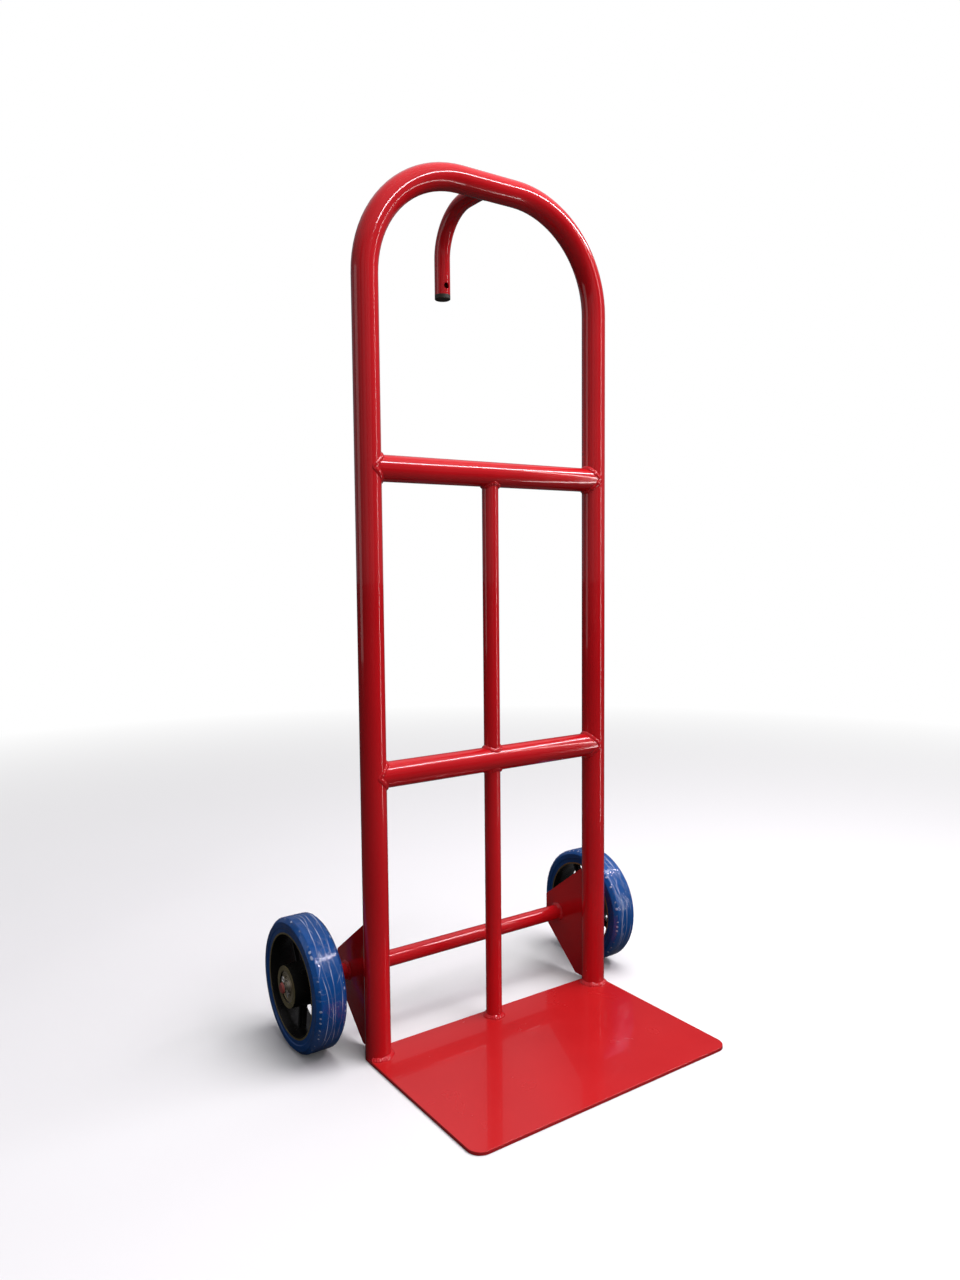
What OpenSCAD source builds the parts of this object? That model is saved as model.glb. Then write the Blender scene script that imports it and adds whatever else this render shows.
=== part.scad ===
// Steel hand truck: a bent tube frame on a welded toe plate, with a single hooked
// handle behind the top bar and two wheels that turn on ball bearings.
// The origin is on the underside of the toe plate, midway between the legs and in
// the plane of their centre lines. +X runs across the frame, +Y is behind it, +Z is up.
// Left and right are as seen from the front, where the load stands.

/* [Frame] */
// Height from the floor to the top of the loop
overall_h = 1304; // [1080:1:1600]
// Distance between the centre lines of the two legs
leg_spacing = 420; // [350:1:520]
// Outside diameter of the loop and the crossbars
tube_d = 38.1; // [31:0.1:46]
// Wall of the loop and the crossbars
tube_wall = 2; // [1.5:0.1:4]
// Centre-line radius of the loop's two bends
loop_bend_r = 160; // [100:1:170]
// Height of the lower crossbar's centre line
lower_bar_z = 420; // [340:1:520]
// Height of the upper crossbar's centre line
upper_bar_z = 860; // [700:1:880]
// Outside diameter of the centre struts
strut_d = 25.4; // [20:0.1:32]
// Wall of the centre struts
strut_wall = 2; // [1.2:0.1:4]

/* [Toe plate] */
// Thickness of the toe plate
plate_t = 5; // [3:0.5:10]
// How far the toe plate reaches in front of the legs' centre lines
plate_reach = 281; // [180:1:400]
// Radius of the two front corners
plate_corner_r = 20; // [5:1:60]

/* [Handle] */
// Outside diameter of the handle tube
handle_d = 25.4; // [20:0.1:32]
// Wall of the handle tube
handle_wall = 2; // [1.2:0.1:4]
// Distance from the top bar back to the hanging end of the handle
handle_reach = 128; // [110:1:200]
// Centre-line radius of the handle's bend
handle_bend_r = 72; // [55:1:80]
// Drop from the top bar's centre line to the bottom of the end plug
handle_drop = 135; // [110:1:220]
// Diameter of the cross hole near the handle's end
hang_hole_d = 9.5; // [5:0.5:12]
// Height of the cross hole above the bottom of the end plug
hang_hole_rise = 20; // [16:1:30]
// Height of the end plug's head
plug_head_h = 7; // [3:0.5:8]
// Length of the end plug's stem inside the tube
plug_stem_h = 6; // [4:0.5:6]

/* [Axle] */
// Distance of the axle behind the legs' centre lines
axle_back = 94; // [75:1:130]
// Outside diameter of the axle tube
axle_tube_d = 25.4; // [22:0.1:28]
// Diameter of the axle rod
axle_rod_d = 16; // [13:0.1:17]
// How far the rod stands out past the bearing faces
axle_rod_end = 10; // [8:1:16]
// Thickness of the gusset plates
gusset_t = 5; // [3:0.5:8]
// Height of the gussets' top corner on the legs
gusset_top_z = 203; // [170:1:300]
// How far the gussets reach behind the axle
gusset_behind = 30; // [20:1:45]
// Height of the gussets' rear edge above the axle
gusset_above = 25; // [16:1:40]
// Depth of the gussets' rear edge below the axle
gusset_below = 24; // [16:1:40]
// How far the gussets' foot reaches behind the legs
gusset_foot = 30; // [15:1:45]
// Free width between a gusset and the tyre beside it
wheel_gap = 46.5; // [20:0.5:80]
// Diameter of the split pins' holes in the rod
pin_hole_d = 4.2; // [3:0.1:5]

/* [Wheels] */
// Outside diameter of the tyres
wheel_d = 200; // [180:1:260]
// Width of the tyres
tyre_w = 48; // [40:1:58]
// Diameter of the seat between the rim and the tyre
rim_d = 156; // [140:1:165]
// Width of the flat chamfer on the tyres' shoulders
shoulder = 6; // [2:0.5:9]
// Length of the hub barrel
hub_len = 58; // [52:1:80]
// Diameter of the hub barrel's faces
hub_d = 62; // [56:1:72]
// Number of spokes
spokes = 5; // [4:1:8]
// Width of a spoke at the rim
spoke_w = 11; // [8:1:20]
// Turn of the left wheel about its axle
left_turn = 27; // [0:1:72]
// Turn of the right wheel about its axle
right_turn = 8; // [0:1:72]

/* [Bearings] */
// Outside diameter of the bearings
bearing_od = 47; // [44:0.5:50]
// Bore of the bearings
bearing_bore = 20; // [18:0.1:22]
// Width of the bearings
bearing_w = 14; // [12:0.5:16]
// Diameter of a ball
ball_d = 7.94; // [6:0.02:8.2]
// Number of balls in a bearing
balls = 8; // [6:1:8]
// Depth of the bearings' faces inside the hub's faces
bearing_recess = 1.8; // [0.5:0.1:4]

/* [Hidden] */

$fn = 64;

LEFT = -1;
RIGHT = 1;
OUTER = 1;
INNER = -1;

FRAME_RED = [0.72, 0.06, 0.08];
PLATE_RED = [0.8, 0.12, 0.13];
TYRE_BLUE = [0.04, 0.25, 0.6];
NYLON_BLACK = [0.05, 0.05, 0.05];
PLUG_BLACK = [0.12, 0.12, 0.09];
BARE_STEEL = [0.7, 0.68, 0.64];
CAGE_STEEL = [0.6, 0.56, 0.5];

// Clearances
cut = 1;              // how far a cutter runs past the face that it cuts
slip = 0.15;          // radial play of a part that slides over or into another
seat = 0.02;          // radial play of a bearing ring on its seat
weld_gap = 0.1;       // radial gap that a weld bridges
ball_play = 0.1;      // gap between a ball and what guides it

// Frame
tube_r = tube_d / 2;
top_z = overall_h - tube_r;
bend_z = top_z - loop_bend_r;
leg_x = leg_spacing / 2;
bend_x = leg_x - loop_bend_r;

// Toe plate
plate_w = leg_spacing + tube_d;

// Handle
handle_end_z = top_z - handle_drop;
handle_bend_z = top_z - handle_bend_r;
handle_bend_y = handle_reach - handle_bend_r;
hang_hole_z = handle_end_z + hang_hole_rise;
plug_edge = 1;

// Wheels, measured from the middle of the wheel outwards
axle_z = wheel_d / 2;
wheel_x = leg_x + gusset_t / 2 + wheel_gap + tyre_w / 2;
rim_r = rim_d / 2;
rim_half_w = tyre_w / 2 - 1;
rim_lip_t = 2.5;
rim_wall_t = 6;
rim_flat = 8;
sidewall_step_h = 6;
sidewall_step_d = 1.5;
hub_r = hub_d / 2;
hub_flare = 2;
hub_shoulder = 3;
spoke_t = 6;
spoke_root_w = spoke_w + 4;
spoke_sink = 2;
rib_t = 4.5;
rib_w = 12;

// Bearings, measured from the middle of the ball row
bearing_z = hub_len / 2 - bearing_recess - bearing_w / 2;
bearing_face_z = bearing_z + bearing_w / 2;
bearing_r = bearing_od / 2;
bore_r = bearing_bore / 2;
pitch_r = (bearing_r + bore_r) / 2;
groove_r = ball_d / 2 + ball_play;
groove_depth = 1.6;
inner_race_r = pitch_r - ball_d / 2 + groove_depth;
outer_race_r = pitch_r + ball_d / 2 - groove_depth;
shield_seat = 1.4;
shield_depth = 1.1;
shield_t = 0.6;
shield_gap = 0.4;
cage_t = 2.1;
cage_rim = 0.8;

// Axle
sleeve_half = bearing_face_z;
axle_tube_half = wheel_x - sleeve_half;
axle_rod_half = wheel_x + bearing_face_z + axle_rod_end;
rod_r = axle_rod_d / 2;
rod_chamfer = 1.5;

// Split pins
pin_r = pin_hole_d / 2 - 0.3;
pin_z = bearing_face_z + pin_r + 0.6;
pin_wire_r = 1.2;
pin_eye_r = 3.4;
pin_tail = 8;
pin_spread = 38;
pin_turn = 45;

// A straight pipe that stands on the XY plane
module pipe(d, wall, h) {
  difference() {
    cylinder(h = h, d = d);
    translate([0, 0, -cut]) cylinder(h = h + 2 * cut, d = d - 2 * wall);
  }
}

// A quarter bend of pipe about the Z axis, from +X round to +Y
module pipe_bend(d, wall, bend_r) {
  rotate_extrude(angle = 90) translate([bend_r, 0]) difference() {
    circle(d = d);
    circle(d = d - 2 * wall);
  }
}

// A flat ring between two heights
module ring(r_out, r_in, z_low, z_high) {
  translate([0, 0, z_low]) difference() {
    cylinder(h = z_high - z_low, r = r_out);
    translate([0, 0, -cut]) cylinder(h = z_high - z_low + 2 * cut, r = r_in);
  }
}

// A solid rod along X, centred on the YZ plane, that also serves as a cutter
module x_rod(d, length) {
  rotate([0, 90, 0]) cylinder(h = length, d = d, center = true);
}

// Puts a shape whose Z axis is the wheel's outward axis at the left or right wheel
module at_wheel(side) {
  translate([side * wheel_x, axle_back, axle_z]) rotate([0, side * 90, 0]) children();
}

// Puts a shape at one of the wheel's two bearings
module at_bearing(side, row) {
  at_wheel(side) translate([0, 0, row * bearing_z]) children();
}

module toe_plate() {
  straight_y = plate_reach - plate_corner_r;
  color(PLATE_RED) linear_extrude(height = plate_t) {
    translate([-plate_w / 2, -straight_y]) square([plate_w, straight_y]);
    translate([-plate_w / 2 + plate_corner_r, -plate_reach])
      square([plate_w - 2 * plate_corner_r, plate_corner_r + cut]);
    translate([-leg_x, -cut]) square([leg_spacing, tube_r + cut]);
    for (side = [LEFT, RIGHT]) {
      translate([side * (plate_w / 2 - plate_corner_r), -straight_y]) circle(r = plate_corner_r);
      translate([side * leg_x, 0]) circle(r = tube_r);
    }
  }
}

module main_loop() {
  color(FRAME_RED) {
    for (side = [LEFT, RIGHT]) {
      translate([side * leg_x, 0, plate_t]) pipe(tube_d, tube_wall, bend_z - plate_t);
    }
    translate([bend_x, 0, bend_z]) rotate([90, 0, 0]) pipe_bend(tube_d, tube_wall, loop_bend_r);
    mirror([1, 0, 0]) translate([bend_x, 0, bend_z]) rotate([90, 0, 0])
      pipe_bend(tube_d, tube_wall, loop_bend_r);
    translate([-bend_x, 0, top_z]) rotate([0, 90, 0]) pipe(tube_d, tube_wall, 2 * bend_x);
  }
}

// A tube between the legs, with its ends notched to sit round them
module crossbar(z) {
  color(FRAME_RED) difference() {
    translate([-leg_x, 0, z]) rotate([0, 90, 0]) pipe(tube_d, tube_wall, leg_spacing);
    for (side = [LEFT, RIGHT]) {
      translate([side * leg_x, 0, z - tube_d]) cylinder(h = 2 * tube_d, d = tube_d);
    }
  }
}

// A tube from the toe plate up to the lower crossbar
module lower_strut() {
  color(FRAME_RED) difference() {
    translate([0, 0, plate_t]) pipe(strut_d, strut_wall, lower_bar_z - plate_t);
    translate([0, 0, lower_bar_z]) x_rod(tube_d, 2 * tube_d);
  }
}

// A tube between the two crossbars
module upper_strut() {
  color(FRAME_RED) difference() {
    translate([0, 0, lower_bar_z]) pipe(strut_d, strut_wall, upper_bar_z - lower_bar_z);
    for (z = [lower_bar_z, upper_bar_z]) {
      translate([0, 0, z]) x_rod(tube_d, 2 * tube_d);
    }
  }
}

// A plate from the back of a leg to the axle tube
module gusset(side) {
  rear_y = axle_back + gusset_behind;
  foot_y = tube_r + gusset_foot;
  color(FRAME_RED) difference() {
    translate([side * leg_x, 0, 0]) rotate([90, 0, 90])
      linear_extrude(height = gusset_t, center = true) polygon([
        [0, plate_t],
        [foot_y - plate_t, plate_t],
        [foot_y, 2 * plate_t],
        [rear_y, axle_z - gusset_below],
        [rear_y, axle_z + gusset_above],
        [tube_r, gusset_top_z],
        [0, gusset_top_z]
      ]);
    translate([side * leg_x, 0, 0]) cylinder(h = gusset_top_z + cut, d = tube_d);
    translate([0, axle_back, axle_z]) x_rod(axle_tube_d + 2 * weld_gap, 2 * wheel_x);
  }
}

module axle_tube() {
  color(FRAME_RED) translate([0, axle_back, axle_z]) difference() {
    x_rod(axle_tube_d, 2 * axle_tube_half);
    x_rod(axle_rod_d + 2 * slip, 2 * axle_tube_half + cut);
  }
}

module axle_rod() {
  color(BARE_STEEL) translate([0, axle_back, axle_z]) difference() {
    for (side = [LEFT, RIGHT]) rotate([0, side * 90, 0]) {
      cylinder(h = axle_rod_half - rod_chamfer, r = rod_r);
      translate([0, 0, axle_rod_half - rod_chamfer])
        cylinder(h = rod_chamfer, r1 = rod_r, r2 = rod_r - rod_chamfer);
    }
    for (side = [LEFT, RIGHT]) {
      translate([side * (wheel_x + pin_z), 0, 0]) rotate([pin_turn, 0, 0])
        rotate([90, 0, 0]) cylinder(h = 2 * axle_rod_d, d = pin_hole_d, center = true);
    }
  }
}

// The handle leaves the back of the top bar, bends down and ends above the end plug
module handle_tube() {
  plug_top_z = handle_end_z + plug_head_h;
  color(FRAME_RED) difference() {
    union() {
      translate([0, 0, top_z]) rotate([-90, 0, 0]) pipe(handle_d, handle_wall, handle_bend_y);
      translate([0, handle_bend_y, handle_bend_z]) rotate([90, 0, 90])
        pipe_bend(handle_d, handle_wall, handle_bend_r);
      translate([0, handle_reach, plug_top_z])
        pipe(handle_d, handle_wall, handle_bend_z - plug_top_z);
    }
    translate([0, 0, top_z]) x_rod(tube_d, 2 * handle_d);
    translate([0, handle_reach, hang_hole_z]) rotate([90, 0, 0])
      cylinder(h = 2 * handle_d, d = hang_hole_d, center = true);
  }
}

module handle_end_plug() {
  head_r = handle_d / 2;
  stem_r = head_r - handle_wall - slip;
  color(PLUG_BLACK) translate([0, handle_reach, handle_end_z]) {
    cylinder(h = plug_edge, r1 = head_r - plug_edge, r2 = head_r);
    translate([0, 0, plug_edge]) cylinder(h = plug_head_h - plug_edge, r = head_r);
    cylinder(h = plug_head_h + plug_stem_h, r = stem_r);
  }
}

// One half of the tyre's section, from its middle out to one sidewall
function tyre_half() = [
  [rim_r, rim_half_w],
  [rim_r + sidewall_step_h, tyre_w / 2 - sidewall_step_d],
  [rim_r + sidewall_step_h + sidewall_step_d, tyre_w / 2],
  [wheel_d / 2 - shoulder, tyre_w / 2],
  [wheel_d / 2, tyre_w / 2 - shoulder]
];

// The same points on the other side of the middle, in reverse order
function mirrored(points) = [
  for (i = [len(points) - 1 : -1 : 0]) [points[i][0], -points[i][1]]
];

module tyre(side) {
  color(TYRE_BLUE) at_wheel(side) rotate_extrude($fn = 128)
    polygon(concat(tyre_half(), mirrored(tyre_half())));
}

// One half of the rim's section: the seat outside, the draught of the mould inside
function rim_half() = [
  [rim_r - rim_wall_t, rim_flat],
  [rim_r - rim_lip_t, rim_half_w],
  [rim_r, rim_half_w]
];

// One half of the hub barrel's section, with the bearing's seat and its shoulder
function hub_half() = [
  [bearing_r - hub_shoulder, bearing_z - bearing_w / 2],
  [bearing_r + seat, bearing_z - bearing_w / 2],
  [bearing_r + seat, hub_len / 2],
  [hub_r, hub_len / 2],
  [hub_r + hub_flare, spoke_t / 4]
];

// A flat spoke with a stiffening rib on both faces
module spoke() {
  root_r = hub_r - spoke_sink;
  length = rim_r - rim_lip_t - root_r;
  linear_extrude(height = spoke_t, center = true) polygon([
    [root_r, -spoke_root_w / 2],
    [root_r + length, -spoke_w / 2],
    [root_r + length, spoke_w / 2],
    [root_r, spoke_root_w / 2]
  ]);
  translate([root_r, -rib_t / 2, -rib_w / 2]) cube([length, rib_t, rib_w]);
}

module wheel_centre(side, turn) {
  color(NYLON_BLACK) at_wheel(side) {
    rotate_extrude($fn = 128) polygon(concat(mirrored(rim_half()), rim_half()));
    rotate_extrude() polygon(concat(mirrored(hub_half()), hub_half()));
    for (i = [0 : spokes - 1]) rotate([0, 0, turn + i * 360 / spokes]) spoke();
  }
}

module bearing_outer_race(side, row) {
  color(BARE_STEEL) at_bearing(side, row) rotate_extrude() difference() {
    translate([outer_race_r, -bearing_w / 2]) square([bearing_r - outer_race_r, bearing_w]);
    translate([pitch_r, 0]) circle(r = groove_r);
    for (face = [-1, 1]) {
      translate([outer_race_r - cut, face * (bearing_w - shield_depth) / 2 - shield_depth / 2])
        square([shield_seat + cut, shield_depth + (face > 0 ? cut : 0)]);
    }
  }
}

module bearing_inner_race(side, row) {
  color(BARE_STEEL) at_bearing(side, row) rotate_extrude() difference() {
    translate([bore_r, -bearing_w / 2]) square([inner_race_r - bore_r, bearing_w]);
    translate([pitch_r, 0]) circle(r = groove_r);
  }
}

module bearing_balls(side, row) {
  color(BARE_STEEL) at_bearing(side, row) for (i = [0 : balls - 1]) {
    rotate([0, 0, i * 360 / balls]) translate([pitch_r, 0, 0]) sphere(d = ball_d);
  }
}

module bearing_cage(side, row) {
  half_w = groove_r + cage_rim;
  color(CAGE_STEEL) at_bearing(side, row) difference() {
    ring(pitch_r + cage_t / 2, pitch_r - cage_t / 2, -half_w, half_w);
    for (i = [0 : balls - 1]) {
      rotate([0, 0, i * 360 / balls]) translate([pitch_r, 0, 0])
        x_rod(2 * groove_r, 2 * cage_t);
    }
  }
}

// Two thin rings that close the bearing's faces and turn with its outer race
module bearing_shields(side, row) {
  floor_z = bearing_w / 2 - shield_depth;
  color(BARE_STEEL) at_bearing(side, row) for (face = [-1, 1]) {
    ring(outer_race_r + shield_seat, inner_race_r + shield_gap,
      face > 0 ? floor_z : -floor_z - shield_t,
      face > 0 ? floor_z + shield_t : -floor_z);
  }
}

// The sleeve that fills the bearings' bores and keeps their inner races apart
module spacer_sleeve(side) {
  color(BARE_STEEL) at_wheel(side)
    ring(bore_r - seat, rod_r + slip, -sleeve_half, sleeve_half);
}

// A split pin through the rod: a round eye on one side and two spread tails on the other
module split_pin(side) {
  reach = rod_r + 1;
  color(BARE_STEEL) translate([side * (wheel_x + pin_z), axle_back, axle_z])
    rotate([pin_turn, 0, 0]) {
      translate([0, reach, 0]) rotate([90, 0, 0]) cylinder(h = 2 * reach, r = pin_r);
      translate([0, reach + pin_eye_r, 0]) rotate([0, 90, 0])
        rotate_extrude() translate([pin_eye_r, 0]) circle(r = pin_wire_r);
      for (tilt = [-pin_spread, pin_spread]) {
        translate([0, -reach + pin_wire_r, 0]) rotate([90 + tilt, 0, 0])
          cylinder(h = pin_tail, r = pin_wire_r);
      }
    }
}

toe_plate();
main_loop();
crossbar(lower_bar_z);  // lower_crossbar
crossbar(upper_bar_z);  // upper_crossbar
lower_strut();
upper_strut();
gusset(LEFT);  // left_gusset
gusset(RIGHT);  // right_gusset
axle_tube();
axle_rod();
handle_tube();
handle_end_plug();
tyre(LEFT);  // left_tyre
tyre(RIGHT);  // right_tyre
wheel_centre(LEFT, left_turn);  // left_wheel_centre
wheel_centre(RIGHT, right_turn);  // right_wheel_centre
spacer_sleeve(LEFT);  // left_spacer_sleeve
spacer_sleeve(RIGHT);  // right_spacer_sleeve
split_pin(LEFT);  // left_split_pin
split_pin(RIGHT);  // right_split_pin
bearing_outer_race(LEFT, OUTER);  // left_outer_bearing_outer_race
bearing_inner_race(LEFT, OUTER);  // left_outer_bearing_inner_race
bearing_balls(LEFT, OUTER);  // left_outer_bearing_balls
bearing_cage(LEFT, OUTER);  // left_outer_bearing_cage
bearing_shields(LEFT, OUTER);  // left_outer_bearing_shields
bearing_outer_race(LEFT, INNER);  // left_inner_bearing_outer_race
bearing_inner_race(LEFT, INNER);  // left_inner_bearing_inner_race
bearing_balls(LEFT, INNER);  // left_inner_bearing_balls
bearing_cage(LEFT, INNER);  // left_inner_bearing_cage
bearing_shields(LEFT, INNER);  // left_inner_bearing_shields
bearing_outer_race(RIGHT, OUTER);  // right_outer_bearing_outer_race
bearing_inner_race(RIGHT, OUTER);  // right_outer_bearing_inner_race
bearing_balls(RIGHT, OUTER);  // right_outer_bearing_balls
bearing_cage(RIGHT, OUTER);  // right_outer_bearing_cage
bearing_shields(RIGHT, OUTER);  // right_outer_bearing_shields
bearing_outer_race(RIGHT, INNER);  // right_inner_bearing_outer_race
bearing_inner_race(RIGHT, INNER);  // right_inner_bearing_inner_race
bearing_balls(RIGHT, INNER);  // right_inner_bearing_balls
bearing_cage(RIGHT, INNER);  // right_inner_bearing_cage
bearing_shields(RIGHT, INNER);  // right_inner_bearing_shields
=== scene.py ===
"""Looks of the hand truck: a gloss red welded tube frame, blue tyres in clear shipping film, bare
steel axle ends and ball bearings. Lengths are in metres, in the same frame as the CAD model:
the origin is under the toe plate, +Z is up, +Y is behind the frame and +X is across it."""
import math
import random

import bmesh
import bpy
from mathutils import Matrix, Vector, noise


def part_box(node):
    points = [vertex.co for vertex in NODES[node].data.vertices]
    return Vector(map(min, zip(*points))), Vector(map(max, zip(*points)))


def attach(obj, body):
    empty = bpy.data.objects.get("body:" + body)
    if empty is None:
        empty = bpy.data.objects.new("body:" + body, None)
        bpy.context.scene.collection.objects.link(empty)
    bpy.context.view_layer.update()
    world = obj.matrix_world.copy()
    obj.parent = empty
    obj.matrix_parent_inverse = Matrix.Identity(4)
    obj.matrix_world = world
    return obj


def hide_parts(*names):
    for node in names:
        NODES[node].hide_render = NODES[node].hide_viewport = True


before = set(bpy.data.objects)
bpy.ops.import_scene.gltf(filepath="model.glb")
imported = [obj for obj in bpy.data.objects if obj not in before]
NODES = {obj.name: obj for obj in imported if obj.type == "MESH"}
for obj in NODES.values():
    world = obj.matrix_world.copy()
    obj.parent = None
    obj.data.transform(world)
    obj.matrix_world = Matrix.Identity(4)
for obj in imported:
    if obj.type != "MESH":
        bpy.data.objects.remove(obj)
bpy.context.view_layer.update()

MM = 0.001
X = Vector((1, 0, 0))
Y = Vector((0, 1, 0))
Z = Vector((0, 0, 1))
FULL_TURN = 2 * math.pi
SIDES = {"left": -1, "right": 1}

# Sizes and places read from the frame
LOOP_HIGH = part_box("main_loop")[1]
TUBE_R = LOOP_HIGH.y
LEG_X = LOOP_HIGH.x - TUBE_R
TOP_Z = LOOP_HIGH.z - TUBE_R
PLATE_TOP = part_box("toe_plate")[1].z
STRUT_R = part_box("lower_strut")[1].x
HANDLE_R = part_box("handle_tube")[1].x
AXLE_LOW, AXLE_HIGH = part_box("axle_tube")
AXLE = (AXLE_LOW + AXLE_HIGH) / 2
AXLE_TUBE_R = (AXLE_HIGH.z - AXLE_LOW.z) / 2
ROD_END_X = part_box("axle_rod")[1].x
BAR_Z = {name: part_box(name)[1].z - TUBE_R for name in ("lower_crossbar", "upper_crossbar")}
TYRE_LOW, TYRE_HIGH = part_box("right_tyre")
TYRE_R = (TYRE_HIGH.z - TYRE_LOW.z) / 2
TYRE_HALF_W = (TYRE_HIGH.x - TYRE_LOW.x) / 2
WHEEL_X = (TYRE_HIGH.x + TYRE_LOW.x) / 2
CENTRE_LOW, CENTRE_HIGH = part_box("right_wheel_centre")
HUB_HALF_W = (CENTRE_HIGH.x - CENTRE_LOW.x) / 2
RIM_R = (CENTRE_HIGH.z - CENTRE_LOW.z) / 2
RIM_HALF_W = TYRE_HALF_W - 1 * MM    # each sidewall stands 1 mm past the rim


# ---------------------------------------------------------------------------------------------
# Node helpers

# The Mix node has a pair of inputs and an output for each kind of value. These are the colour ones.
MIX_COLOUR_INPUTS = (6, 7)
MIX_COLOUR_OUTPUT = 2


class Nodes:
    """Small chains of procedural nodes in one node tree, which start from a place or a direction."""

    def __init__(self, tree, place):
        self.tree = tree
        self.place = self.node("ShaderNodeTexCoord").outputs[place]

    def node(self, kind, **settings):
        made = self.tree.nodes.new(kind)
        for name, value in settings.items():
            setattr(made, name, value)
        return made

    def link(self, source, target):
        self.tree.links.new(source, target)

    def stretched(self, scale):
        """The starting place, scaled by its own amount along each axis."""
        mapping = self.node("ShaderNodeMapping")
        mapping.inputs["Scale"].default_value = scale
        self.link(self.place, mapping.inputs["Vector"])
        return mapping.outputs["Vector"]

    def noise(self, scale, detail=2.0, roughness=0.5, distortion=0.0, place=None):
        made = self.node("ShaderNodeTexNoise")
        made.inputs["Scale"].default_value = scale
        made.inputs["Detail"].default_value = detail
        made.inputs["Roughness"].default_value = roughness
        made.inputs["Distortion"].default_value = distortion
        self.link(place or self.place, made.inputs["Vector"])
        return made.outputs["Fac"]

    def cells(self, scale):
        made = self.node("ShaderNodeTexVoronoi")
        made.inputs["Scale"].default_value = scale
        self.link(self.place, made.inputs["Vector"])
        return made.outputs["Distance"]

    def remap(self, source, low, high, out_low=0.0, out_high=1.0):
        made = self.node("ShaderNodeMapRange", clamp=True)
        self.link(source, made.inputs["Value"])
        made.inputs["From Min"].default_value = low
        made.inputs["From Max"].default_value = high
        made.inputs["To Min"].default_value = out_low
        made.inputs["To Max"].default_value = out_high
        return made.outputs["Result"]

    def math(self, operation, a, b=0.0):
        made = self.node("ShaderNodeMath", operation=operation)
        for socket, value in zip(made.inputs, (a, b)):
            if isinstance(value, (int, float)):
                socket.default_value = value
            else:
                self.link(value, socket)
        return made.outputs["Value"]

    def blend(self, factor, first, second):
        """A colour that goes from first to second as factor goes from 0 to 1."""
        made = self.node("ShaderNodeMix", data_type="RGBA")
        self.link(factor, made.inputs["Factor"])
        for index, value in zip(MIX_COLOUR_INPUTS, (first, second)):
            if isinstance(value, tuple):
                made.inputs[index].default_value = (*value, 1)
            else:
                self.link(value, made.inputs[index])
        return made.outputs[MIX_COLOUR_OUTPUT]

    def axis(self, name):
        split = self.node("ShaderNodeSeparateXYZ")
        self.link(self.place, split.inputs["Vector"])
        return split.outputs[name]


class Shader(Nodes):
    """A material with one Principled shader."""

    def __init__(self, name):
        self.material = bpy.data.materials.new(name)
        self.material.use_nodes = True
        super().__init__(self.material.node_tree, "Object")
        self.principled = self.tree.nodes["Principled BSDF"]

    def set(self, socket, value):
        self.principled.inputs[socket].default_value = value

    def feed(self, socket, source):
        self.link(source, self.principled.inputs[socket])

    def bump(self, height, strength, distance, under=None, socket="Normal"):
        """Feeds a bump from a height into a normal socket, on top of another bump if one is given."""
        made = self.node("ShaderNodeBump")
        made.inputs["Strength"].default_value = strength
        made.inputs["Distance"].default_value = distance
        self.link(height, made.inputs["Height"])
        if under is not None:
            self.link(under, made.inputs["Normal"])
        self.feed(socket, made.outputs["Normal"])
        return made.outputs["Normal"]


# ---------------------------------------------------------------------------------------------
# Camera, lights and floor

CAMERA_AT = Vector((-0.8424, -1.1813, 0.7206))
CAMERA_TURN = math.radians(-34.806)
CAMERA_TILT = math.radians(-4.496)
CAMERA_ROLL = math.radians(-0.502)
CAMERA_LENS = 26.404

LIT_MIDDLE = (0, 0, 0.7)       # what most lights are aimed at
BACKDROP = 1.0
FLOOR_R = 40
FLOOR_FADE = (0.9, 3.4)        # distances from the origin between which the floor melts away
FLOOR_PALE = (0.8, 0.8, 0.8)
FLOOR_BOUNCE = (0.06, 0.06, 0.06)
CEILING_NEAR = (0.6, 0.58, 0.62)
CEILING_FAR = (0.3, 0.29, 0.31)
WALL_DIM = (0.07, 0.07, 0.08)
WALL_BRIGHT = (0.28, 0.28, 0.3)
GROUND = (0.03, 0.03, 0.03)


def make_camera():
    forward = Vector((
        -math.sin(CAMERA_TURN) * math.cos(CAMERA_TILT),
        math.cos(CAMERA_TURN) * math.cos(CAMERA_TILT),
        math.sin(CAMERA_TILT),
    ))
    level = Vector((math.cos(CAMERA_TURN), math.sin(CAMERA_TURN), 0))
    upright = level.cross(forward)
    right = level * math.cos(CAMERA_ROLL) + upright * math.sin(CAMERA_ROLL)
    up = upright * math.cos(CAMERA_ROLL) - level * math.sin(CAMERA_ROLL)
    data = bpy.data.cameras.new("camera")
    data.lens = CAMERA_LENS
    data.clip_end = 200
    camera = bpy.data.objects.new("camera", data)
    turn = Matrix((right, up, -forward)).transposed()
    camera.matrix_world = Matrix.Translation(CAMERA_AT) @ turn.to_4x4()
    bpy.context.scene.collection.objects.link(camera)
    bpy.context.scene.camera = camera


def make_light(name, place, target, size, power, colour=(1, 1, 1), diffuse=True, glossy=True):
    data = bpy.data.lights.new(name, "AREA")
    data.shape = "RECTANGLE"
    data.size = size[0]
    data.size_y = size[1]
    data.energy = power
    data.color = colour
    light = bpy.data.objects.new(name, data)
    light.location = place
    aim = Vector(target) - Vector(place)
    light.rotation_euler = aim.to_track_quat("-Z", "Y").to_euler()
    light.visible_camera = False
    light.visible_diffuse = diffuse
    light.visible_glossy = glossy
    bpy.context.scene.collection.objects.link(light)


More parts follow.
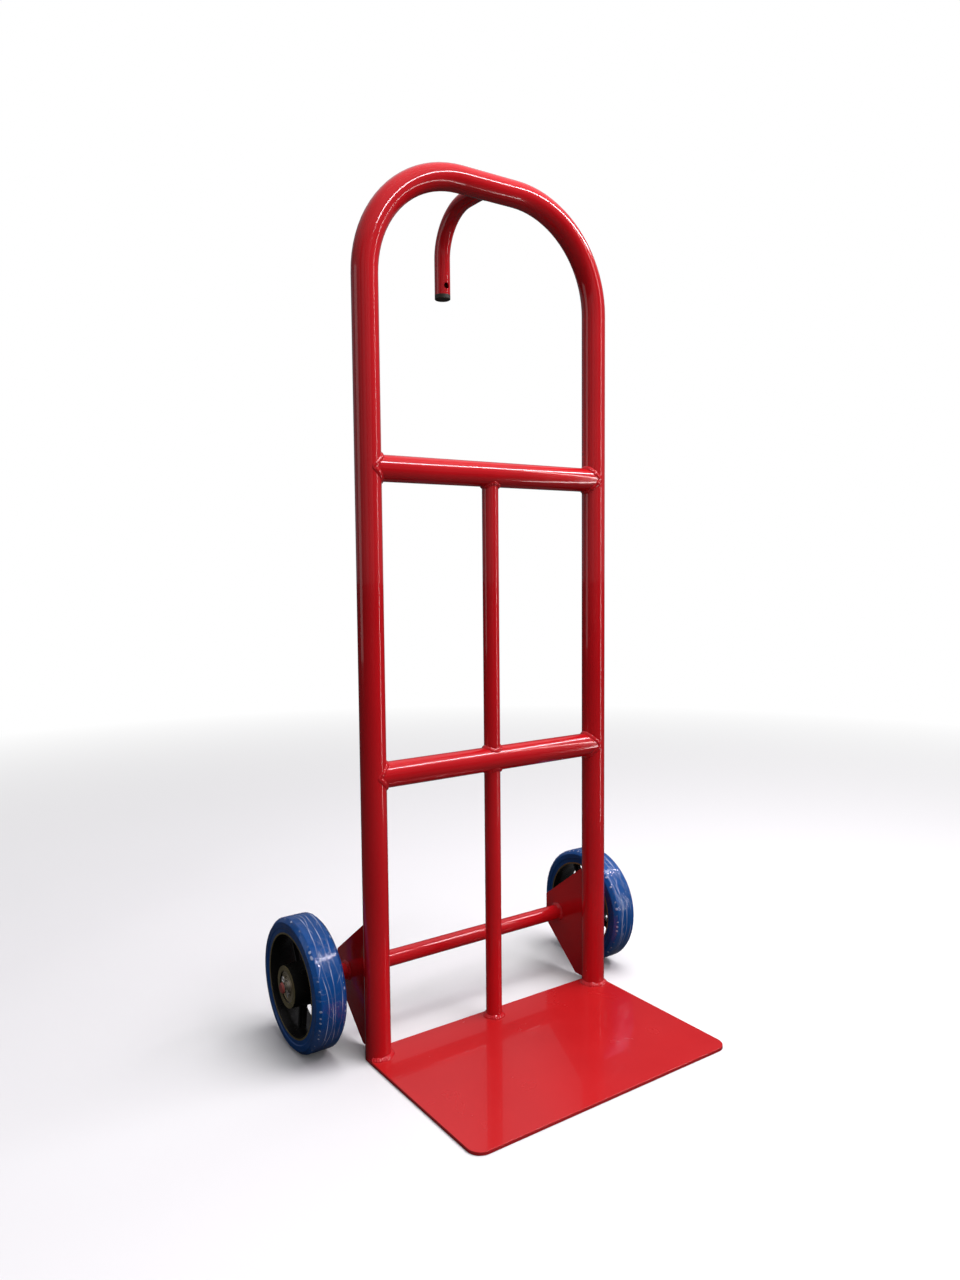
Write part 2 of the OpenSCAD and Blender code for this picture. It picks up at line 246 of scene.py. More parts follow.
def make_lights():
    """A long tube light above right, soft light from above and in front, and two that only draw glints."""
    make_light("key_strip", (1.1, -1.15, 2.2), LIT_MIDDLE, (2.4, 0.12), 32, colour=(1.0, 0.92, 1.0))
    make_light("overhead", (0.5, -0.3, 3.0), LIT_MIDDLE, (2, 2), 70, glossy=False)
    make_light("front_fill", (-0.5, -2.3, 1.2), LIT_MIDDLE, (1.5, 1.5), 11, glossy=False)
    make_light("right_strip", (0.93, -0.8, 0.75), (0, 0, 0.75), (0.035, 1.9), 3.4, diffuse=False)
    make_light("left_window", (-2.6, 0.9, 1.2), LIT_MIDDLE, (1.2, 1.8), 5, diffuse=False)


def make_world():
    """A white backdrop for the camera. Light and reflections see a room instead: a ceiling that is
    brighter to the right, dim walls with upright streaks, and a dark floor."""
    world = bpy.data.worlds.new("world")
    world.use_nodes = True
    world.node_tree.nodes.clear()
    room = Nodes(world.node_tree, "Generated")
    height = room.axis("Z")
    upright = room.stretched((1, 1, 0.12))
    streaks = room.remap(room.noise(scale=4, detail=2, place=upright), 0.38, 0.62)
    walls = room.blend(streaks, WALL_DIM, WALL_BRIGHT)
    above_ground = room.remap(height, -0.3, -0.12)
    low = room.blend(above_ground, GROUND, walls)
    rightwards = room.remap(room.axis("X"), -0.5, 0.3)
    ceiling = room.blend(rightwards, CEILING_FAR, CEILING_NEAR)
    overhead = room.remap(height, 0.5, 0.66)
    shade = room.blend(overhead, low, ceiling)
    path = room.node("ShaderNodeLightPath").outputs["Is Camera Ray"]
    background = room.node("ShaderNodeBackground")
    room.link(room.blend(path, shade, (BACKDROP, BACKDROP, BACKDROP)), background.inputs["Color"])
    output = room.node("ShaderNodeOutputWorld")
    room.link(background.outputs[0], output.inputs["Surface"])
    bpy.context.scene.world = world


def make_floor():
    """A pale floor that takes a soft shadow near the object and melts into the backdrop far from it."""
    mesh = bpy.data.meshes.new("floor")
    build = bmesh.new()
    bmesh.ops.create_circle(build, cap_ends=True, segments=96, radius=FLOOR_R)
    build.to_mesh(mesh)
    build.free()
    floor = bpy.data.objects.new("floor", mesh)
    bpy.context.scene.collection.objects.link(floor)
    paper = Shader("floor")
    paper.set("Roughness", 0.9)
    paper.set("Specular IOR Level", 0.1)
    path = paper.node("ShaderNodeLightPath").outputs["Is Camera Ray"]
    paper.feed("Base Color", paper.blend(path, FLOOR_BOUNCE, FLOOR_PALE))
    paper.bump(paper.noise(scale=120, detail=3), strength=0.05, distance=0.5 * MM)
    away = paper.node("ShaderNodeVectorMath", operation="LENGTH")
    paper.link(paper.place, away.inputs[0])
    far = paper.remap(away.outputs["Value"], *FLOOR_FADE)
    glow = paper.node("ShaderNodeEmission")
    glow.inputs["Strength"].default_value = BACKDROP
    mix = paper.node("ShaderNodeMixShader")
    paper.link(paper.math("MULTIPLY", far, path), mix.inputs[0])
    paper.link(paper.principled.outputs[0], mix.inputs[1])
    paper.link(glow.outputs[0], mix.inputs[2])
    paper.link(mix.outputs[0], paper.tree.nodes["Material Output"].inputs["Surface"])
    mesh.materials.append(paper.material)


# ---------------------------------------------------------------------------------------------
# Materials

RED_TIP = (0.32, 0.06, 0.05)
PAINTED_TIP = 2.2 * MM         # how much of each rod end is red
DUST = (0.75, 0.35, 0.32)


def red_paint(name, base, deep, dull, specks):
    """Gloss red enamel: slow shade changes, faint orange peel and sags, and a few light specks."""
    paint = Shader(name)
    cloud = paint.remap(paint.noise(scale=5, detail=3), 0.35, 0.68)
    tone = paint.blend(cloud, base, deep)
    spots = paint.remap(paint.cells(specks), 0.0, 0.05, 1.0, 0.0)
    sparse = paint.remap(paint.noise(scale=9, detail=1), 0.62, 0.7)
    paint.feed("Base Color", paint.blend(paint.math("MULTIPLY", spots, sparse), tone, DUST))
    smear = paint.noise(scale=14, detail=4, roughness=0.6, distortion=0.6)
    paint.feed("Roughness", paint.remap(smear, 0.3, 0.75, dull - 0.03, dull + 0.05))
    paint.set("Specular IOR Level", 0.3)
    paint.set("Coat Weight", 0.6)
    paint.set("Coat Roughness", 0.03)
    soft = paint.bump(paint.noise(scale=40, detail=1), strength=0.012, distance=0.3 * MM)
    paint.bump(paint.noise(scale=420, detail=1), strength=0.01, distance=0.12 * MM, under=soft)
    return paint.material


def painted_steel():
    return red_paint("frame_paint", (0.58, 0.007, 0.012), (0.5, 0.005, 0.009), dull=0.14, specks=55)


# Painted shade: the plate has the frame's own red paint, painted darker here because it takes less light
# than the tops of the tubes.
def plate_paint():
    return red_paint("plate_paint", (0.53, 0.013, 0.015), (0.48, 0.01, 0.012), dull=0.24, specks=70)


def weld_paint():
    return red_paint("weld_paint", (0.58, 0.008, 0.014), (0.46, 0.005, 0.009), dull=0.12, specks=90)


def steel(name, base, deep, dull, lines, tip=None):
    """Bare steel with fine lathe lines round the axle and a faint oil film.
    Further from the middle than tip, past a ragged edge, it is red with paint."""
    metal = Shader(name)
    grain = metal.noise(scale=lines, detail=2, place=metal.stretched((1, 0.02, 0.02)))
    oil = metal.remap(metal.noise(scale=70, detail=3), 0.35, 0.7)
    tone = metal.blend(oil, base, deep)
    if tip is None:
        metal.set("Metallic", 1.0)
        metal.feed("Base Color", tone)
    else:
        reach = metal.math("ABSOLUTE", metal.axis("X"))
        edge = metal.math("ADD", reach, metal.math("MULTIPLY", metal.noise(scale=260), 1.6 * MM))
        painted = metal.remap(edge, tip, tip + 0.4 * MM)
        metal.feed("Base Color", metal.blend(painted, tone, RED_TIP))
        metal.feed("Metallic", metal.remap(painted, 0, 1, 1.0, 0.0))
    metal.feed("Roughness", metal.remap(grain, 0.3, 0.7, dull - 0.07, dull + 0.09))
    metal.bump(grain, strength=0.15, distance=0.05 * MM)
    return metal.material


def black_nylon():
    """Black moulded nylon, with the end faces of the hub and the rim painted a lighter olive as a painted
    sheen.
    """
    nylon = Shader("black_nylon")
    flow = nylon.remap(nylon.noise(scale=22, detail=3, distortion=0.8), 0.3, 0.75)
    plain = nylon.blend(flow, (0.004, 0.004, 0.004), (0.010, 0.010, 0.008))
    across = nylon.math("SUBTRACT", nylon.math("ABSOLUTE", nylon.axis("X")), WHEEL_X)
    out = nylon.math("ABSOLUTE", across)
    back = nylon.math("POWER", nylon.math("SUBTRACT", nylon.axis("Y"), AXLE.y), 2)
    rise = nylon.math("POWER", nylon.math("SUBTRACT", nylon.axis("Z"), AXLE.z), 2)
    radius = nylon.math("SQRT", nylon.math("ADD", back, rise))
    below = 0.7 * MM       # the painted sheen starts this far below an end face
    full = 0.3 * MM        # and is full this far below it
    hub_end = nylon.remap(out, HUB_HALF_W - below, HUB_HALF_W - full)
    rim_end = nylon.remap(out, RIM_HALF_W - below, RIM_HALF_W - full)
    at_rim = nylon.remap(radius, RIM_R - 5 * MM, RIM_R - 4 * MM)
    lip = nylon.math("MULTIPLY", rim_end, at_rim)
    # Painted sheen: the end faces of the hub and the rim lip are painted a lighter olive, in place of the
    # light that they catch.
    film = nylon.remap(nylon.noise(scale=38, detail=3, distortion=0.5), 0.3, 0.7)
    painted_sheen_olive = nylon.blend(film, (0.11, 0.09, 0.035), (0.22, 0.18, 0.08))
    nylon.feed("Base Color", nylon.blend(nylon.math("MAXIMUM", hub_end, lip), plain, painted_sheen_olive))
    nylon.feed("Roughness", nylon.remap(nylon.noise(scale=45, detail=3), 0.3, 0.7, 0.22, 0.36))
    nylon.set("Specular IOR Level", 0.3)
    nylon.bump(nylon.noise(scale=700, detail=2), strength=0.12, distance=0.1 * MM)
    return nylon.material


def plug_plastic():
    plastic = Shader("plug_plastic")
    tone = plastic.remap(plastic.noise(scale=90, detail=3), 0.3, 0.7)
    plastic.feed("Base Color", plastic.blend(tone, (0.020, 0.020, 0.013), (0.032, 0.031, 0.020)))
    plastic.feed("Roughness", plastic.remap(plastic.noise(scale=60, detail=2), 0.3, 0.7, 0.42, 0.58))
    plastic.bump(plastic.noise(scale=1500, detail=2), strength=0.25, distance=0.1 * MM)
    return plastic.material


def blue_rubber():
    """Blue elastic rubber: soft mottling, mould grain and a dull sheen."""
    rubber = Shader("blue_tyre")
    mottle = rubber.remap(rubber.noise(scale=16, detail=4, distortion=0.4), 0.3, 0.72)
    rubber.feed("Base Color", rubber.blend(mottle, (0.001, 0.050, 0.21), (0.001, 0.080, 0.32)))
    rubber.feed("Roughness", rubber.remap(rubber.noise(scale=80, detail=3), 0.3, 0.7, 0.38, 0.52))
    rubber.set("Specular IOR Level", 0.15)
    rubber.bump(rubber.noise(scale=900, detail=2), strength=0.15, distance=0.1 * MM)
    rubber.set("Coat Weight", 0.45)
    rubber.set("Coat Roughness", 0.05)
    ragged = rubber.noise(scale=70, detail=3, distortion=1.5)
    rubber.bump(ragged, strength=0.35, distance=0.5 * MM, socket="Coat Normal")
    return rubber.material


def assign(material, *names):
    for name in names:
        slots = NODES[name].data.materials
        slots.clear()
        slots.append(material)


def assign_materials():
    paint = painted_steel()
    assign(paint, "main_loop", "lower_crossbar", "upper_crossbar", "lower_strut", "upper_strut")
    assign(paint, "left_gusset", "right_gusset", "axle_tube", "handle_tube")
    assign(plate_paint(), "toe_plate")
    assign(plug_plastic(), "handle_end_plug")
    tip = ROD_END_X - PAINTED_TIP
    rod = steel("axle_steel", (0.62, 0.6, 0.57), (0.5, 0.47, 0.42), dull=0.28, lines=900, tip=tip)
    assign(rod, "axle_rod")
    sleeve = steel("sleeve_steel", (0.6, 0.57, 0.52), (0.5, 0.46, 0.4), dull=0.25, lines=800)
    pin = steel("pin_zinc", (0.8, 0.79, 0.76), (0.66, 0.65, 0.62), dull=0.2, lines=300)
    race = steel("bearing_steel", (0.66, 0.6, 0.47), (0.55, 0.49, 0.36), dull=0.16, lines=1200)
    shield = steel("shield_steel", (0.58, 0.51, 0.36), (0.47, 0.41, 0.28), dull=0.3, lines=900)
    cage = steel("cage_steel", (0.5, 0.47, 0.42), (0.4, 0.37, 0.32), dull=0.35, lines=500)
    nylon = black_nylon()
    for side in SIDES:
        assign(nylon, f"{side}_wheel_centre")
        assign(sleeve, f"{side}_spacer_sleeve")
        assign(pin, f"{side}_split_pin")
        for row in ("outer", "inner"):
            bearing = f"{side}_{row}_bearing_"
            assign(race, bearing + "outer_race", bearing + "inner_race", bearing + "balls")
            assign(cage, bearing + "cage")
            assign(shield, bearing + "shields")


# ---------------------------------------------------------------------------------------------
# Mesh helpers

def add_piece(name, build, material, body, replaced=()):
    """Turns a bmesh into a smooth-shaded piece that rides on a body, in place of some CAD nodes."""
    bmesh.ops.recalc_face_normals(build, faces=build.faces)
    mesh = bpy.data.meshes.new(name)
    build.to_mesh(mesh)
    build.free()
    mesh.materials.append(material)
    for face in mesh.polygons:
        face.use_smooth = True
    piece = bpy.data.objects.new(name, mesh)
    bpy.context.scene.collection.objects.link(piece)
    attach(piece, body)
    if replaced:
        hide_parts(*replaced)
    return piece


SAME_POINT = 0.005 * MM        # points nearer than this are one point
SAME_FLAT = math.radians(0.4)  # faces that turn by less than this are one flat
SHARP = math.radians(28)       # an edge that turns by more than this is rounded


def softened(node, width, material, body):
    """A CAD node's own shape with its sharp edges rounded, as paint, moulds and tumbling leave them."""
    build = bmesh.new()
    build.from_mesh(NODES[node].data)
    bmesh.ops.remove_doubles(build, verts=build.verts, dist=SAME_POINT)
    bmesh.ops.dissolve_limit(build, angle_limit=SAME_FLAT, verts=build.verts, edges=build.edges)
    inner = [edge for edge in build.edges if len(edge.link_faces) == 2]
    sharp = [edge for edge in inner if edge.calc_face_angle() > SHARP]
    bmesh.ops.bevel(
        build, geom=sharp, offset=width, segments=3, profile=0.5, affect="EDGES", clamp_overlap=True
    )
    piece = add_piece(f"{node}_finished", build, material, body, [node])
    piece.modifiers.new("normals", "WEIGHTED_NORMAL")


def rounded(corners, steps=5):
    """A closed outline from corners (x, y, radius), each rounded by a short curve."""
    points = []
    for i, (x, y, radius) in enumerate(corners):
        corner = Vector((x, y))
        before = Vector(corners[i - 1][:2]) - corner
        after = Vector(corners[(i + 1) % len(corners)][:2]) - corner
        half_turn = before.angle(after) / 2
        most = 0.49 * min(before.length, after.length)      # so that two curves never meet
        reach = min(radius / math.tan(half_turn), most)
        start = corner + before.normalized() * reach
        end = corner + after.normalized() * reach
        for k in range(steps + 1):
            t = k / steps
            points.append(start * (1 - t) ** 2 + corner * 2 * t * (1 - t) + end * t ** 2)
    return points


def wheel_point(side, angle, radius, out):
    """A place on a wheel: an angle about the axle, a distance from it and one outwards from mid-tyre."""
    return Vector((
        side * (WHEEL_X + out),
        AXLE.y + radius * math.cos(angle),
        AXLE.z + radius * math.sin(angle),
    ))


def skin(build, rings, round_section, round_loop=True):
    """Joins rings of points, each the same length, into a surface."""
    grid = [[build.verts.new(point) for point in ring] for ring in rings]
    count = len(grid)
    width = len(grid[0])
    for i in range(count if round_loop else count - 1):
        first = grid[i]
        second = grid[(i + 1) % count]
        for k in range(width if round_section else width - 1):
            following = (k + 1) % width
            build.faces.new((first[k], first[following], second[following], second[k]))
    return grid


def make_softened():
    """The nodes whose edges catch light, each with the rounding that its making leaves."""
    for node, width, body, slot in (
        ("toe_plate", 0.7 * MM, "frame", "plate_paint"),
        ("left_gusset", 0.6 * MM, "frame", "frame_paint"),
        ("right_gusset", 0.6 * MM, "frame", "frame_paint"),
        ("axle_tube", 0.4 * MM, "frame", "frame_paint"),
        ("handle_tube", 0.35 * MM, "frame", "frame_paint"),
        ("left_wheel_centre", 0.7 * MM, "left_wheel", "black_nylon"),
        ("right_wheel_centre", 0.7 * MM, "right_wheel", "black_nylon"),
    ):
        softened(node, width, NODES[node].data.materials[0], body)


# ---------------------------------------------------------------------------------------------
# Welds

FOOT_WELD_OUT = 62             # degrees from a leg's front to its foot weld's end on the outer side
FOOT_WELD_IN = 128             # and on the inner side
FOOT_BEAD = 5.2 * MM
STRUT_FOOT_BEAD = 5.5 * MM
CROSSBAR_BEAD = 4.2 * MM
TUBE_BEAD = 4 * MM
STITCH_BEAD = 3.5 * MM
STITCH_L = 24 * MM
STITCH_PLACES = (0.08, 0.5, 0.86)    # where the stitches start, as shares of a gusset's height

SECTION_STEPS = 9              # steps across a bead, from one toe to the other
RIPPLE_L = 3.2 * MM
RIPPLE_BOW = 1.3               # how far a ripple's middle runs behind its ends, as a phase
RIPPLE_STRAY = 2.6             # how far ripples stray from even steps, as a phase
TOE_HUG = 1.35                 # above 1, a bead's toes lie closer to the surfaces
BEAD_ROOT = 0.9 * MM           # how far below the seam a bead is closed
BEAD_SUNK = 0.2 * MM
END_TAPER = 5                  # sections over which an open bead grows to its full size
STRAY_NOISE = 110              # how fine the noise is, per metre, that moves a bead's ripples,
LUMP_NOISE = 130               # that changes its width
GRAIN_NOISE = 420              # and that roughens it


class Seam:
    """One point of a weld: where it is, the ways along the two surfaces that it joins, and its way out."""

    def __init__(self, point, along_a, along_b, rise):
        self.point = point
        self.along_a = along_a
        self.along_b = along_b
        self.rise = rise.normalized()


def bead_section(seam, run, phase, size, fade):
    """The points across a bead, from its toe on one surface to that on the other, and then its root."""
    stray = RIPPLE_STRAY * noise.noise(Vector((run * STRAY_NOISE, phase, 0)))
    lump = noise.noise(Vector((run * LUMP_NOISE, phase, 7)))
    wide = size * (1 + 0.28 * lump) * fade
    points = []
    for k in range(SECTION_STEPS + 1):
        s = k / SECTION_STEPS
        crown = math.sin(math.pi * s)
        ripple = abs(math.sin(math.pi * run / RIPPLE_L + stray + RIPPLE_BOW * crown))
        grain = noise.noise(seam.point * GRAIN_NOISE + Vector((phase, k * 0.4, 0)))
        high = size * (0.16 + 0.17 * ripple + 0.1 * lump + 0.09 * grain) * crown * fade
        on_a = seam.along_a * wide * (1 - s) ** TOE_HUG
        on_b = seam.along_b * wide * s ** TOE_HUG
        points.append(seam.point + on_a + on_b + seam.rise * (high - BEAD_SUNK))
    points.append(seam.point - seam.rise * BEAD_ROOT)
    return points


def add_spatter(build, seams, size, chance):
    """A few grains beside a bead, each sunk a little into the surface under it."""
    for _ in range(max(3, len(seams) // 12)):
        seam = chance.choice(seams)
        away, normal = chance.choice(((seam.along_a, seam.along_b), (seam.along_b, seam.along_a)))
        place = seam.point + away * size * chance.uniform(1.15, 2.2)
        radius = chance.uniform(0.35, 0.75) * MM
        made = bmesh.ops.create_icosphere(build, subdivisions=1, radius=radius)
        bmesh.ops.translate(build, verts=made["verts"], vec=place - normal * radius * 0.3)


def weld_mesh(name, seams, size, seed, material, closed=True):
    """A bead along the seams: bowed ripples, uneven width and a few grains of spatter beside it."""
    chance = random.Random(seed)
    phase = chance.uniform(0, 10)
    last = len(seams) - 1
    sections = []
    run = 0.0
    for i, seam in enumerate(seams):
        if i > 0:
            run += (seam.point - seams[i - 1].point).length
        fade = 1.0
        if not closed:
            fade = math.sqrt(min(1.0, 0.05 + min(i, last - i) / END_TAPER))
        sections.append(bead_section(seam, run, phase, size, fade))
    build = bmesh.new()
    grid = skin(build, sections, round_section=True, round_loop=closed)
    if not closed:
        build.faces.new(grid[0])
        build.faces.new(grid[-1])
    add_spatter(build, seams, size, chance)
    bead = add_piece(name, build, material, "frame")
    smooth = bead.modifiers.new("subdivision", "SUBSURF")
    smooth.levels = 1
    smooth.render_levels = 1


def saddle_seams(centre, main_axis, main_r, branch_axis, branch_r, count=120):
    """The closed seam where a branch tube leaves the side of a main tube."""
    across = main_axis.cross(branch_axis)
    points = []
    for i in range(count):
        angle = FULL_TURN * i / count
        side = across * math.sin(angle) * branch_r
        depth = math.sqrt(max(main_r ** 2 - side.length ** 2, 0))
        points.append(centre + main_axis * math.cos(angle) * branch_r + side + branch_axis * depth)
    seams = []
    for i, point in enumerate(points):
        angle = FULL_TURN * i / count
        branch_normal = main_axis * math.cos(angle) + across * math.sin(angle)
        from_main = point - centre
        main_normal = (from_main - main_axis * from_main.dot(main_axis)).normalized()
        tangent = (points[(i + 1) % count] - points[i - 1]).normalized()
        along_main = main_normal.cross(tangent).normalized()
        along_branch = branch_normal.cross(tangent).normalized()
        if along_main.dot(branch_normal - branch_axis) < 0:
            along_main = -along_main
        if along_branch.dot(branch_axis) < 0:
            along_branch = -along_branch
        seams.append(Seam(point, along_main, along_branch, main_normal + branch_normal))
    return seams


def ring_seams(centre, axis, radius, start=0.0, end=360.0, count=90):
    """The seam round a tube that stands on a flat face; axis points along the tube, away from it."""
    first = -Y
    second = axis.cross(first)
    whole = end - start >= 360
    last = count if whole else count - 1
    seams = []
    for i in range(count):
        angle = math.radians(start + (end - start) * i / last)
        out = first * math.cos(angle) + second * math.sin(angle)
        seams.append(Seam(centre + out * radius, out, axis.copy(), out + axis))
    return seams


def line_seams(start, end, along_a, along_b, count=24):
    """A straight stitch between two points."""
    return [
        Seam(start.lerp(end, i / (count - 1)), along_a, along_b, along_a + along_b)
        for i in range(count)
    ]


def weld_feet(material):
    """The feet of the legs, welded where the plate reaches past them, and the strut's foot all round."""
    for name, side in SIDES.items():
        centre = Vector((side * LEG_X, 0, PLATE_TOP))
        start, end = -FOOT_WELD_OUT, FOOT_WELD_IN
        if side > 0:
            start, end = -end, -start
        seams = ring_seams(centre, Z, TUBE_R, start, end)
        weld_mesh(f"{name}_foot_weld", seams, FOOT_BEAD, 11 + side, material, closed=False)
    seams = ring_seams(Vector((0, 0, PLATE_TOP)), Z, STRUT_R)
    weld_mesh("strut_foot_weld", seams, STRUT_FOOT_BEAD, 21, material)


def weld_crossbars(material):
    for bar, z in BAR_Z.items():
        for name, side in SIDES.items():
            seams = saddle_seams(Vector((side * LEG_X, 0, z)), Z, TUBE_R, X * -side, TUBE_R)
            seed = 31 + round(z / MM) + side
            weld_mesh(f"{bar}_{name}_weld", seams, CROSSBAR_BEAD, seed, material)


def weld_struts(material):
    joints = (
        ("lower_strut_top_weld", BAR_Z["lower_crossbar"], -Z),
        ("upper_strut_bottom_weld", BAR_Z["lower_crossbar"], Z),
        ("upper_strut_top_weld", BAR_Z["upper_crossbar"], -Z),
    )
    for seed, (name, z, way) in enumerate(joints, start=41):
        seams = saddle_seams(Vector((0, 0, z)), X, TUBE_R, way, STRUT_R)
        weld_mesh(name, seams, TUBE_BEAD, seed, material)


def weld_handle(material):
    seams = saddle_seams(Vector((0, 0, TOP_Z)), X, TUBE_R, Y, HANDLE_R)
    weld_mesh("handle_weld", seams, TUBE_BEAD, 51, material)


def weld_gusset_face(name, x, way, seed, low_z, high_z, reach_y, material):
    """A ring round the axle tube on one face of a gusset, and stitches up the back of the leg."""
    seams = ring_seams(Vector((x, AXLE.y, AXLE.z)), X * way, AXLE_TUBE_R)
    weld_mesh(f"{name}_axle_weld", seams, TUBE_BEAD, seed, material)
    for i, share in enumerate(STITCH_PLACES, start=1):
        start = Vector((x, reach_y, low_z + (high_z - low_z) * share))
        seams = line_seams(start, start + Z * STITCH_L, Y, X * way)
        weld_mesh(f"{name}_stitch_{i}", seams, STITCH_BEAD, seed + i, material, closed=False)


def weld_gussets(material):
    for name, side in SIDES.items():
        low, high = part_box(f"{name}_gusset")
        thick = high.x - low.x
        reach_y = math.sqrt(TUBE_R ** 2 - (thick / 2) ** 2)
        for face, way in (("inside", -side), ("outside", side)):
            x = side * LEG_X + way * thick / 2
            seed = 61 + 10 * side + 4 * way
            weld_gusset_face(f"{name}_gusset_{face}", x, way, seed, low.z, high.z, reach_y, material)


def make_welds():
    material = weld_paint()
    weld_feet(material)
    weld_crossbars(material)
    weld_struts(material)
    weld_handle(material)
    weld_gussets(material)


# ---------------------------------------------------------------------------------------------
# Tyres and the clear film round them

FILM_ROOM = 0.65 * MM          # what the film and its folds take of the tyre's radius
CHAMFER = 6 * MM
STEP_H = 6 * MM
STEP_D = 1.5 * MM
TYRE_SEGMENTS = 192

FILM_AROUND = 540              # the film's points round the wheel
FILM_ACROSS = 120              # the film's steps from its outer edge to its inner one
FILM_LIFT = 0.12 * MM
FILM_REACH = 13 * MM           # how far in from the tread the film covers the sidewalls
FILM_BEND = 4 * MM
FOLD_LIFT = 0.45 * MM
SLACK_LIFT = 0.06 * MM
FLARE_SHARE = 0.1              # the share of the film, at its inner edge, that may hang loose
FLARE_OUT = 9 * MM
BOX_ROOM = 0.02 * MM           # the film stays this far inside the tyre's own radius

LINE_SHARES = (0.36, 0.44, 0.57, 0.68)
CREASE_COUNT = 46
WRAP_COUNT = 2
LOOP_COUNT = 26
LINE_W = 0.9 * MM
CREASE_W = 0.8 * MM
WRAP_W = 0.9 * MM
LOOP_W = 0.7 * MM
PUCKER_W = 2.5 * MM
PUCKER_SHARES = (0.2, 0.8)


def tyre_corners():
    """Half of the tyre's section, from the rim out: distance from the axle, outwards, rounding."""
    tread = TYRE_R - FILM_ROOM
    return [
        (RIM_R, RIM_HALF_W, 0.5 * MM),
        (RIM_R + STEP_H, TYRE_HALF_W - STEP_D, 2.5 * MM),
        (RIM_R + STEP_H + STEP_D, TYRE_HALF_W, 1.0 * MM),
        (tread - CHAMFER, TYRE_HALF_W, 2.0 * MM),
        (tread, TYRE_HALF_W - CHAMFER, 2.5 * MM),
    ]


def make_tyre(name, side, material):
    half = tyre_corners()
    other = [(radius, -out, bend) for radius, out, bend in reversed(half)]
    outline = rounded(half + other)
    rings = [
        [wheel_point(side, FULL_TURN * i / TYRE_SEGMENTS, point.x, point.y) for point in outline]
        for i in range(TYRE_SEGMENTS)
    ]
    build = bmesh.new()
    skin(build, rings, round_section=True)
    add_piece(f"{name}_tyre_moulded", build, material, f"{name}_wheel", [f"{name}_tyre"])


def bell(distance, width):
    return math.exp(-(distance / width) ** 2)


def round_noise(angle, fineness, level):
    """Noise that runs round the wheel and meets itself again."""
    return noise.noise(Vector((math.cos(angle) * fineness, math.sin(angle) * fineness, level)))


def run_between(start, angle):
    """The shorter way round the tread from one angle to another."""
    return ((angle - start + math.pi) % FULL_TURN - math.pi) * TYRE_R


class Film:
    """The folds in one tyre's film, over an angle round the wheel and a place across the film."""

    def __init__(self, seed, span):
        chance = random.Random(seed)
        self.seed = seed
        self.span = span
        self.lines = [
            (span * share, chance.uniform(2, 5) * MM, chance.randint(2, 4), chance.uniform(0, 6.3))
            for share in LINE_SHARES
        ]
        self.creases = [
            (
                chance.uniform(0, FULL_TURN),
                span * chance.uniform(0.22, 0.78),
                chance.uniform(-1, 1),
                chance.uniform(6, 26) * MM,
                chance.uniform(0.5, 1.0),
            )
            for _ in range(CREASE_COUNT)
        ]
        self.wraps = [chance.uniform(0, FULL_TURN) for _ in range(WRAP_COUNT)]
        self.loops = [
            (
                chance.uniform(0, FULL_TURN),
                span * chance.uniform(0.14, 0.8),
                chance.uniform(3, 7) * MM,
                chance.uniform(0.6, 1.6),
            )
            for _ in range(LOOP_COUNT)
        ]

    def line_fold(self, angle, across):
        """Folds that run all the way round and sway from side to side."""
        most = 0.0
        for middle, sway, waves, phase in self.lines:
            wander = round_noise(angle, 2, phase)
            place = middle + sway * (math.sin(waves * angle + phase) + wander)
            strength = max(0.0, 0.7 + 0.5 * round_noise(angle, 4, phase + 5))
            most = max(most, strength * bell(across - place, LINE_W))
        return most

    def crease_fold(self, angle, across):
        """Short folds that lean one way or the other and taper at their ends."""
        most = 0.0
        for start, place, lean, length, strength in self.creases:
            run = run_between(start, angle)
            if abs(run) <= length:
                beside = across - place - lean * run * 0.9
                taper = math.cos(run / length * math.pi / 2)
                most = max(most, strength * taper * bell(beside, CREASE_W))
        return most

    def wrap_fold(self, angle, across):
        """Folds that run right across the tread."""
        most = 0.0
        for start in self.wraps:
            bent = run_between(start, angle) + 5 * MM * math.sin(across / self.span * 5 + start)
            most = max(most, 0.45 * bell(bent, WRAP_W))
        return most

    def loop_fold(self, angle, across):
        """Small closed loops, longer or shorter round the wheel than across."""
        most = 0.0
        for start, place, reach, slim in self.loops:
            run = run_between(start, angle)
            if abs(run) < 3 * reach:
                away = math.hypot(run * slim, across - place)
                most = max(most, 0.6 * bell(away - reach, LOOP_W))
        return most

    def pucker_fold(self, angle, across):
        """Puckers where the film bends over the tyre's shoulders."""
        shoulder = max(bell(across - self.span * share, PUCKER_W) for share in PUCKER_SHARES)
        pucker = round_noise(angle, 22, self.seed + across * 60)
        return shoulder * max(0.0, 0.1 + 2.2 * pucker)

    def fold(self, angle, across):
        """How much the film is folded, from 0 to 1."""
        kinds = (self.line_fold, self.crease_fold, self.wrap_fold, self.loop_fold, self.pucker_fold)
        return min(1.0, max(kind(angle, across) for kind in kinds))

    def slack(self, angle, across):
        """How far the film stands off or lies closer between its folds."""
        return SLACK_LIFT * noise.noise(Vector((angle * TYRE_R * 60, across * 90, self.seed)))

    def flare(self, angle, share):
        """How far the film hangs off the tyre's inner side, at a share of its way across."""
        loose = max(0.0, round_noise(angle, 2.5, self.seed))
        return FLARE_OUT * loose * max(0.0, share - (1 - FLARE_SHARE)) / FLARE_SHARE


